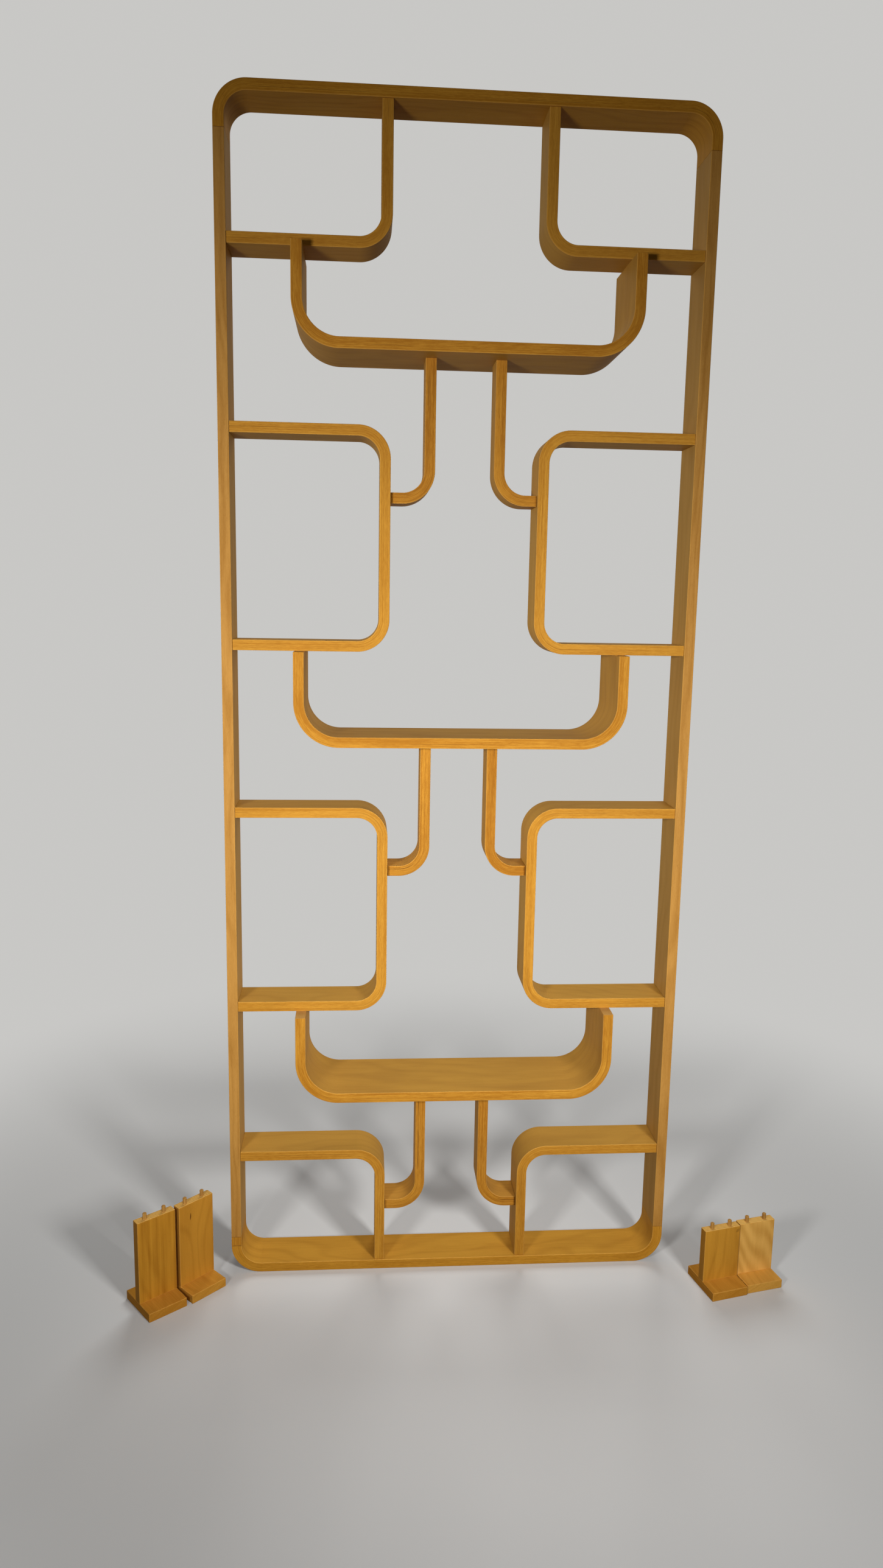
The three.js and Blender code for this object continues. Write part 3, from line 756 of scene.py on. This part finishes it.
# Feet. Four loose feet, two tall and two short, each a plate with an upright board pegged to it and two
# plugs that fit a rail's sockets. The boards are plywood with crossed plies, which show as stripes on their
# top ends; the plates are solid, with the grain running from front to back.
foot_thickness = 0.018
foot_width = 0.080
plate_depth = 0.0975
plate_ease = 0.0011
plate_end_steps = 3
plug_radius = 0.004
plug_tip_chamfer = 0.0009
plug_flutes = 12
flute_depth = 0.00018
plug_sides = 72
split = {"Mark Along": 0.142, "Mark Across": 0.0130, "Half Length": 0.0088, "Half Width": 0.0016}
smudge = {"Mark Along": 0.102, "Mark Across": -0.036, "Half Length": 0.0050, "Half Width": 0.0045}
feet = {
    "tall_foot_inner": {"light": srgb(206, 145, 50), "dark": srgb(164, 106, 30), "stripe_share": 0.20,
                        "stripe_scale": 20.0, "mark": split, "mark_share": 0.85},
    "tall_foot_outer": {"light": srgb(206, 145, 46), "dark": srgb(158, 101, 24), "stripe_share": 0.46,
                        "stripe_scale": 95.0},
    "short_foot_inner": {"light": srgb(210, 150, 52), "dark": srgb(164, 108, 30), "stripe_share": 0.26,
                         "stripe_scale": 60.0, "mark": smudge, "mark_share": 0.35},
    "short_foot_outer": {"light": srgb(246, 192, 102), "dark": srgb(196, 140, 58), "stripe_share": 0.20,
                         "stripe_scale": 34.0, "figure_share": 0.36, "figure_slant": -19.0,
                         "figure_warp": 6.5, "figure_scale": 0.9, "figure_edge": 0.02},
}
# the plates carry the painted edge highlight round their ends as well
plate_finish = {"thickness": foot_thickness, "plies_count": 1, "line_share": 0.0, "stripe_scale": 42.0,
                "fleck_share": 0.10, "joint_share": 0.0, "end_highlight": 1.0, "end_share": 0.0}
plate_wood = wood("plate_wood", srgb(224, 162, 64), srgb(184, 122, 38), stripe_share=0.34, **plate_finish)
pale_plate_wood = wood("pale_plate_wood", srgb(240, 182, 86), srgb(202, 142, 54), stripe_share=0.28,
                       **plate_finish)
plug_wood = turned_wood("plug_wood", srgb(198, 148, 74), srgb(150, 104, 44), 0.58)


def foot_placing(foot):
    """How the foot stands: its two plugs lie left and right of its middle."""
    ends = []
    for end in ("left", "right"):
        low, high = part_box(f"{foot}_plug_{end}")
        ends.append((low + high) / 2)
    turn = math.atan2(ends[1].y - ends[0].y, ends[1].x - ends[0].x)
    middle = (ends[0] + ends[1]) / 2
    return Matrix.Translation((middle.x, middle.y, 0)) @ Matrix.Rotation(turn, 4, "Z")


def plug_shape(low, high):
    """A round plug with shallow flutes and a chamfered tip, where the frame has it."""
    middle = (low + high) / 2
    shape = bmesh.new()
    rings = []
    for inset, z in ((0.0, low.z), (0.0, high.z - plug_tip_chamfer), (plug_tip_chamfer, high.z)):
        ring = []
        for i in range(plug_sides):
            angle = 2 * math.pi * i / plug_sides
            flute = flute_depth * (0.5 - 0.5 * math.cos(plug_flutes * angle))
            radius = plug_radius - inset - flute
            x = middle.x + radius * math.cos(angle)
            y = middle.y + radius * math.sin(angle)
            ring.append(shape.verts.new((x, y, z)))
        rings.append(ring)
    for before, after in zip(rings, rings[1:]):
        for i in range(plug_sides):
            j = (i + 1) % plug_sides
            shape.faces.new((before[i], before[j], after[j], after[i]))
    shape.faces.new(rings[0])
    shape.faces.new(rings[-1])
    bmesh.ops.recalc_face_normals(shape, faces=shape.faces)
    return shape


quarter_turn = Matrix.Rotation(math.pi / 2, 4, "Z")
for foot, finish in feet.items():
    placing = foot_placing(foot) @ quarter_turn
    plate_low, plate_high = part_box(f"{foot}_plate")
    board_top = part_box(f"{foot}_board")[1].z
    plate_run = run_along([(-plate_depth / 2, plate_low.z), (plate_depth / 2, plate_low.z)],
                          thickness=foot_thickness)
    own_wood = pale_plate_wood if foot == "short_foot_outer" else plate_wood
    lay_board(f"{foot}_plate", "board", plate_run, foot_width, own_wood, placing,
              foot_thickness, plate_ease, plate_end_steps)
    # the boards carry the painted edge highlight round their ends as well
    board_wood = wood(f"{foot}_board_wood", thickness=foot_thickness, plies_count=9, ply_share=0.10,
                      line_share=0.0, cross_share=0.90, fibre_share=0.14, fleck_share=0.10,
                      # painted shade on the narrow sides, partly their own darker side grain
                      joint_share=0.0, end_highlight=1.0, end_share=0.0, side_shade_share=0.60, **finish)
    board_run = run_along([(foot_thickness / 2, plate_high.z), (foot_thickness / 2, board_top)],
                          thickness=foot_thickness)
    lay_board(f"{foot}_board", "ply", board_run, foot_width, board_wood, placing,
              foot_thickness)
    for end in ("left", "right"):
        node = f"{foot}_plug_{end}"
        plug = new_object(f"{node}_peg", plug_shape(*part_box(node)))
        fit(plug, node, plug_wood)
